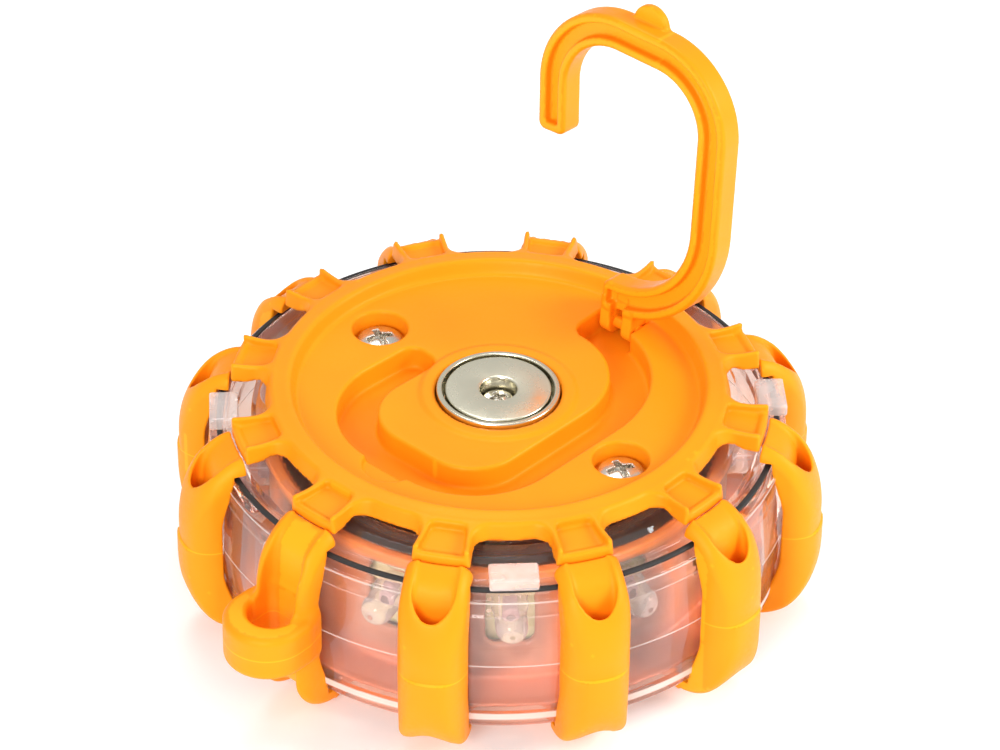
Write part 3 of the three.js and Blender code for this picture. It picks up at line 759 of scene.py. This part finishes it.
def clear_plastic(name, tint, haze, clouding, roughness, seam_and_painted_glints=()):
    """Polished clear plastic under a glossy coat: thin milky clouds, edges whitened as a painted highlight,
    shadows that let light through, and a brown painted shade in the lowest two millimetres of the clear body.

    Each stripe is painted pale with soft edges on the outer skin, as (middle height, half height, strength);
    it serves for painted highlights and for the pale line of the mould seam."""
    material, nodes, output = new_material(name)
    where = nodes.add("ShaderNodeTexCoord").outputs["Object"]
    flow = nodes.noise(where, 130.0, 3.0)
    level = nodes.add("ShaderNodeSeparateXYZ", {0: where}).outputs["Z"]
    outer_skin = nodes.spread(nodes.from_axis(where), 44.3 * MM, 44.6 * MM)
    seam_and_glint_band = 0.0
    # Painted highlights and the seam's pale line, as soft stripes by height on the outer skin.
    for middle, half, strength in seam_and_painted_glints:
        off = nodes.math("ABSOLUTE", nodes.math("SUBTRACT", level, middle * MM))
        seam_and_glint_band = nodes.math("ADD", seam_and_glint_band, nodes.spread(off, half * MM * 0.6, half * MM, strength, 0.0))
    seam_and_glint_band = nodes.math("MULTIPLY", seam_and_glint_band, outer_skin)
    height = nodes.math("ADD", nodes.math("MULTIPLY", flow, 0.2), seam_and_glint_band)
    relief = nodes.add("ShaderNodeBump", {"Height": height, "Strength": 0.2, "Distance": 0.0001})
    tone = nodes.mix(nodes.spread(flow, 0.3, 0.8), (*tint, 1), (*haze, 1))
    # Painted shade: the clear body's lowest two millimetres turn brown.
    tone = nodes.mix(nodes.spread(level, 5.8 * MM, 6.6 * MM, 1.0, 0.0), tone, (0.60, 0.33, 0.24, 1))
    glass = nodes.add("ShaderNodeBsdfPrincipled", {
        "Base Color": tone,
        "Roughness": nodes.spread(flow, 0.3, 0.7, roughness, roughness + 0.02),
        "Transmission Weight": 1.0, "IOR": 1.06, "Coat Weight": 1.0, "Coat Roughness": 0.03, "Coat IOR": 1.5,
        "Normal": relief.outputs[0]})
    milk_and_highlight = nodes.add("ShaderNodeBsdfDiffuse", {"Color": (*haze, 1)})
    share = nodes.math("ADD", nodes.spread(flow, 0.35, 0.75, clouding * 0.5, clouding), seam_and_glint_band)
    # Painted highlight: sharp edges get more of the pale milky colour.
    edge = nodes.add("ShaderNodeNewGeometry").outputs["Pointiness"]
    share = nodes.math("ADD", share, nodes.spread(edge, 0.54, 0.66, 0.0, 0.45))
    with_milk_and_highlight = nodes.add("ShaderNodeMixShader", {0: share, 1: glass.outputs[0], 2: milk_and_highlight.outputs[0]})
    through = nodes.add("ShaderNodeBsdfTransparent", {"Color": (*tint, 1)})
    path = nodes.add("ShaderNodeLightPath")
    both_ways = nodes.add("ShaderNodeMixShader", {0: path.outputs["Is Shadow Ray"], 1: with_milk_and_highlight.outputs[0],
                                                  2: through.outputs[0]})
    nodes.tree.links.new(both_ways.outputs[0], output.inputs["Surface"])
    return material


def inner_drum(name):
    """The wall behind the lamps: dull salmon between the posts, pale patches, orange close to each post as
    painted reflection of the posts, a deeper foot, and a lid painted bright orange as light reflected from
    the cover above."""
    material, nodes, output = new_material(name)
    where = nodes.add("ShaderNodeTexCoord").outputs["Object"]
    split = nodes.add("ShaderNodeSeparateXYZ", {0: where})
    angle = nodes.math("ARCTAN2", split.outputs["Y"], split.outputs["X"])
    # Painted reflection: the wall turns orange close to each orange post.
    turns = nodes.math("FRACT", nodes.math("ADD", nodes.math("DIVIDE", angle, PITCH), 12.5))
    away = nodes.math("MULTIPLY", nodes.math("ABSOLUTE", nodes.math("SUBTRACT", turns, 0.5)), 2.0)
    patches = nodes.noise(where, 110.0, 2.0)
    pale = nodes.mix(nodes.spread(patches, 0.4, 0.68), (0.30, 0.105, 0.052, 1), (0.50, 0.235, 0.15, 1))
    with_post_reflection = nodes.mix(nodes.spread(away, 0.5, 1.0), pale, (0.62, 0.18, 0.05, 1))
    foot = nodes.spread(split.outputs["Z"], 7.5 * MM, 11 * MM, 1.0, 0.0)
    colour = nodes.mix(foot, with_post_reflection, (0.50, 0.13, 0.05, 1))
    # Painted light: the lid is painted bright orange for light reflected from the orange cover above.
    lid = nodes.spread(split.outputs["Z"], 25.5 * MM, 26.8 * MM)
    colour = nodes.mix(lid, colour, (0.95, 0.30, 0.06, 1))
    grain = nodes.noise(where, 1500.0, 2.0)
    relief = nodes.add("ShaderNodeBump", {"Height": grain, "Strength": 0.1, "Distance": 0.0001})
    shader_node = nodes.add("ShaderNodeBsdfPrincipled", {
        "Base Color": colour, "Roughness": nodes.spread(grain, 0.3, 0.7, 0.38, 0.5),
        "Normal": relief.outputs[0]})
    nodes.tree.links.new(shader_node.outputs[0], output.inputs["Surface"])
    return material


def circuit_board(name):
    """Solder mask with pale tracks and small plated dots."""
    material, nodes, output = new_material(name)
    where = nodes.add("ShaderNodeTexCoord").outputs["Object"]
    cells = nodes.add("ShaderNodeTexVoronoi", {"Vector": where, "Scale": 420.0}, distance="CHEBYCHEV")
    dots = nodes.add("ShaderNodeTexVoronoi", {"Vector": where, "Scale": 330.0})
    tracks = nodes.spread(cells.outputs["Distance"], 0.30, 0.36)
    plated = nodes.spread(dots.outputs["Distance"], 0.12, 0.16, 1.0, 0.0)
    colour = nodes.mix(tracks, (0.50, 0.47, 0.24, 1), (0.60, 0.56, 0.34, 1))
    colour = nodes.mix(plated, colour, (0.66, 0.62, 0.5, 1))
    relief = nodes.add("ShaderNodeBump", {"Height": tracks, "Strength": 0.3, "Distance": 0.00005})
    shader_node = nodes.add("ShaderNodeBsdfPrincipled", {
        "Base Color": colour, "Metallic": nodes.math("MULTIPLY", plated, 0.9),
        "Roughness": nodes.spread(plated, 0, 1, 0.42, 0.25), "Normal": relief.outputs[0]})
    nodes.tree.links.new(shader_node.outputs[0], output.inputs["Surface"])
    return material


# The colour, its deeper drift, and the paler colour of its painted edge highlight, also used for the seam.
ORANGE = ((0.94, 0.295, 0.006), (0.93, 0.27, 0.005), (0.98, 0.42, 0.012))
RUBBER = ((0.012, 0.011, 0.011), (0.02, 0.018, 0.017), (0.05, 0.05, 0.05))
TRAY = ((0.018, 0.018, 0.019), (0.03, 0.03, 0.03), (0.07, 0.07, 0.07))
SLEEVE = ((0.02, 0.11, 0.07), (0.03, 0.15, 0.09), (0.5, 0.45, 0.3))
DIE = ((0.30, 0.20, 0.24), (0.42, 0.30, 0.32), (0.8, 0.7, 0.68))
# Pale stripes on the clear body: the mid-height one is the mould seam, the rest are painted highlights.
SEAM_AND_PAINTED_GLINTS = ((MIDDLE, 0.16, 0.4), (7.3, 0.8, 0.6), (29.3, 0.2, 0.35), (26.8, 0.15, 0.2))
ORANGE_GLOSS = {"Specular Tint": (1.0, 0.75, 0.3, 1.0), "Specular IOR Level": 0.35}
finishes = {
    "cover_orange": moulded("cover_plastic", *ORANGE, 0.42, **ORANGE_GLOSS),
    "bumper_orange": moulded("bumper_plastic", *ORANGE, 0.46, seam=MIDDLE * MM, **ORANGE_GLOSS),
    "hook_orange": moulded("hook_plastic", *ORANGE, 0.38, **ORANGE_GLOSS),
    "clear_shell": clear_plastic("clear_plastic", (1.0, 0.95, 0.92), (0.94, 0.82, 0.76), 0.04, 0.0, SEAM_AND_PAINTED_GLINTS),
    "clear_clip": clear_plastic("clip_plastic", (0.98, 0.94, 0.92), (0.80, 0.74, 0.71), 0.45, 0.0),
    "lamp_lens": clear_plastic("lens_resin", (0.97, 0.95, 0.96), (0.95, 0.87, 0.87), 0.28, 0.08),
    "cup_nickel": metal("cup_plating", (0.80, 0.76, 0.60), (0.56, 0.52, 0.38), 0.2),
    "magnet_nickel": metal("magnet_plating", (0.82, 0.78, 0.62), (0.64, 0.61, 0.47), 0.24),
    "screw_steel": metal("screw_plating", (0.72, 0.69, 0.62), (0.48, 0.44, 0.38), 0.22),
    "contact_steel": metal("contact_plating", (0.6, 0.59, 0.57), (0.4, 0.38, 0.36), 0.3),
    "switch_metal": metal("switch_can", (0.58, 0.57, 0.55), (0.4, 0.39, 0.37), 0.35),
    "black_rubber": moulded("seal_rubber", *RUBBER, 0.62),
    "black_plastic": moulded("tray_plastic", *TRAY, 0.5),
    "battery_sleeve": moulded("battery_sleeve", *SLEEVE, 0.3),
    "green_board": circuit_board("board_mask"),
    "salmon_plastic": inner_drum("drum_plastic"),
    "lamp_die": moulded("lamp_die", *DIE, 0.35),
}

slot_of = {entry["node"]: entry["material_slot"] for entry in frame["record"]["subparts"]}
for node_name, node in frame["nodes"].items():
    node.data.materials.clear()
    node.data.materials.append(finishes[slot_of[node_name]])


# ---------------------------------------------------------------- pieces
def moulding(name, shape, slot, stands_for=(), body="lamp"):
    """A shape with one of the finishes; a finish that the record names is also passed to put as slot."""
    known = slot if slot in slot_of.values() else None
    return put(name, *shape, body=body, stands_for=stands_for, slot=known, material=finishes[slot])


# The grids' steps: wide covers, small mouldings, the inner wall and the screw heads.
STEP = 0.42
FINE = 0.3
COARSE = 0.5
SCREW_STEP = 0.12
# How far each screw's cross is turned, in degrees.
CROSS_TURN = 20

moulding("cover_moulding", skin(back_cover, (-43, -43, 29), (43, 43, 38.1), STEP), "cover_orange",
         ["back_cover"])
moulding("bezel_moulding", skin(front_bezel, (-43, -43, -0.8), (43, 43, 5.1), STEP), "cover_orange",
         ["front_bezel"])

post_points, post_faces = skin(bumper_post, (41, -6.5, 0.5), (53.5, 6.5, 35.5), FINE)
for k in range(COUNT):
    angle = 15 + 30 * k
    if angle == LANYARD:
        loop_points, loop_faces = skin(lanyard_post, (41, -8, 0.5), (60, 8, 35.5), FINE)
        moulding("lanyard_bumper", (spun(loop_points, angle), loop_faces), "bumper_orange", ["lanyard_post"])
    else:
        moulding(f"bumper_{k + 1:02d}", (spun(post_points, angle), post_faces), "bumper_orange",
                 [f"bumper_post_{k + 1:02d}"])

hook_points, hook_faces = skin(hook_body, (-20.5, -2.8, -2.8), (20.5, 57.5, 2.8), 0.75 * FINE)
moulding("hook_moulding", (at_hinge(hook_points, HOOK_RAISE), hook_faces), "hook_orange", ["hook"],
         body="hook")

moulding("body_shell", body_shell(), "clear_shell", ["clear_body"])
moulding("cap_shell", cap_shell(), "clear_shell", ["clear_cap"])
clip_points, clip_faces = skin(cap_clip, (40, -4.2, 31.2), (45.5, 4.2, 34), FINE)
for k, angle in enumerate(CLIP_ANGLES):
    moulding(f"cap_clip_{k + 1:02d}", (spun(clip_points, angle), clip_faces), "clear_clip")
moulding("seal_moulding", seal(), "black_rubber", ["seal_ring"])
moulding("inner_wall", skin(inner_wall, (-43, -43, 6.4), (43, 43, 28), COARSE), "salmon_plastic",
         ["reflector_ring"])
moulding("magnet_cup_turned", magnet_cup(), "cup_nickel", ["magnet_cup"])
moulding("magnet_turned", magnet(), "magnet_nickel", ["magnet"])

# Each screw: its node, its distance and angle from the middle, its seat, its head's radius and height.
screws = [("cover_screw_01", SCREW_R, SCREW_ANGLES[0], 31.4, 3.6, 1.9),
          ("cover_screw_02", SCREW_R, SCREW_ANGLES[1], 31.4, 3.6, 1.9),
          ("magnet_screw", 0, 0, 32.6, 2.5, 1.5)]
for node_name, radius, angle, seat, head, rise in screws:
    low_corner = (-head - 0.5, -head - 0.5, -0.5)
    high_corner = (head + 0.5, head + 0.5, rise + 0.5)
    points, faces = skin(cross_head(head, rise), low_corner, high_corner, SCREW_STEP)
    way = math.radians(angle)
    place = np.array([radius * math.cos(way), radius * math.sin(way), seat])
    moulding(node_name + "_head", (spun(points, CROSS_TURN) + place, faces), "screw_steel", [node_name])

moulding("button_turned", button(), "cover_orange", ["push_button"], "button")
moulding("pin_turned", hinge_pin(), "cover_orange", ["hook_pin"])

lens_points, lens_faces = lens(8.6)
die_points, die_faces = die()
base = np.array([LAMP_R, 0, LAMP_Z])
for k in range(COUNT):
    angle = 30 * k
    moulding(f"side_lens_{k + 1:02d}", (spun(laid_out(lens_points) + base, angle), lens_faces), "lamp_lens",
             [f"side_lamp_{k + 1:02d}"])
    moulding(f"side_die_{k + 1:02d}", (spun(laid_out(die_points) + base, angle), die_faces), "lamp_die")

lens_points, lens_faces = lens(6.6)
base = np.array([FRONT_LAMP_R, 0, FRONT_LAMP_Z])
for k, angle in enumerate(FRONT_LAMP_ANGLES):
    moulding(f"front_lens_{k + 1:02d}", (spun(facing_down(lens_points) + base, angle), lens_faces),
             "lamp_lens", [f"front_lamp_{k + 1:02d}"])
    moulding(f"front_die_{k + 1:02d}", (spun(facing_down(die_points) + base, angle), die_faces), "lamp_die")


# ---------------------------------------------------------------- floor, light and camera
def floor():
    material, nodes, output = new_material("studio_floor")
    where = nodes.add("ShaderNodeTexCoord").outputs["Object"]
    tone = nodes.mix(nodes.noise(where, 3.0), (0.90, 0.90, 0.90, 1), (0.92, 0.92, 0.92, 1))
    shader_node = nodes.add("ShaderNodeBsdfPrincipled", {
        "Base Color": tone, "Roughness": 0.6, "Emission Color": (1, 1, 1, 1), "Emission Strength": 0.16})
    nodes.tree.links.new(shader_node.outputs[0], output.inputs["Surface"])
    mesh = bpy.data.meshes.new("studio_floor")
    mesh.from_pydata([(-4, -4, 0), (4, -4, 0), (4, 4, 0), (-4, 4, 0)], [], [(0, 1, 2, 3)])
    mesh.materials.append(material)
    plane = bpy.data.objects.new("studio_floor", mesh)
    bpy.context.scene.collection.objects.link(plane)


def area_light(name, place, size, power):
    """A round light that faces the lamp."""
    data = bpy.data.lights.new(name, "AREA")
    data.shape = "DISK"
    data.size = size
    data.energy = power
    lamp_object = bpy.data.objects.new(name, data)
    lamp_object.location = place
    way = np.array(place) - (0, 0, 0.03)
    lamp_object.rotation_euler = (math.acos(way[2] / np.linalg.norm(way)), 0, math.atan2(way[0], -way[1]))
    bpy.context.scene.collection.objects.link(lamp_object)


def studio():
    """A pale surround, brighter overhead, with a soft key from the front left, a side light from the right
    and a weak top light from behind."""
    world = bpy.data.worlds.new("studio")
    world.use_nodes = True
    nodes = Nodes(world.node_tree)
    world.node_tree.nodes.clear()
    where = nodes.add("ShaderNodeTexCoord").outputs["Generated"]
    level = nodes.add("ShaderNodeSeparateXYZ", {0: where}).outputs["Z"]
    tone = nodes.mix(nodes.spread(level, -0.1, 0.9), (0.80, 0.80, 0.80, 1), (1.0, 1.0, 1.0, 1))
    surround = nodes.add("ShaderNodeBackground", {"Color": tone, "Strength": 0.66})
    output = nodes.add("ShaderNodeOutputWorld")
    world.node_tree.links.new(surround.outputs[0], output.inputs["Surface"])
    bpy.context.scene.world = world
    area_light("key", (-0.45, -1.1, 0.6), 0.6, 12)
    area_light("side", (0.95, -0.25, 0.6), 0.5, 9)
    area_light("top", (-0.1, 0.5, 1.2), 0.5, 4)


def camera():
    """The camera looks down at 36.7 degrees from a little left of the front."""
    lift, swing, roll = math.radians(36.68), math.radians(-3.63), math.radians(0.78)
    back = np.array([math.sin(swing) * math.cos(lift), -math.cos(swing) * math.cos(lift), math.sin(lift)])
    level = np.array([math.cos(swing), math.sin(swing), 0])
    up = np.cross(back, level)
    right = math.cos(roll) * level + math.sin(roll) * up
    up = math.cos(roll) * up - math.sin(roll) * level
    aside, above, away = 0.25955, 1.79, 721.549
    place = (aside * right + above * up + away * back + np.array([0, 0, HEIGHT])) * MM
    data = bpy.data.cameras.new("camera")
    data.lens = 166.87
    data.sensor_width = 36
    data.clip_start = 0.05
    item = bpy.data.objects.new("camera", data)
    matrix = np.eye(4)
    matrix[:3, :3] = np.stack([right, up, back], axis=1)
    matrix[:3, 3] = place
    item.matrix_world = matrix.T.tolist()
    bpy.context.scene.collection.objects.link(item)
    bpy.context.scene.camera = item


floor()
studio()
camera()
bpy.context.scene.view_settings.view_transform = "Standard"

bpy.context.view_layer.update()
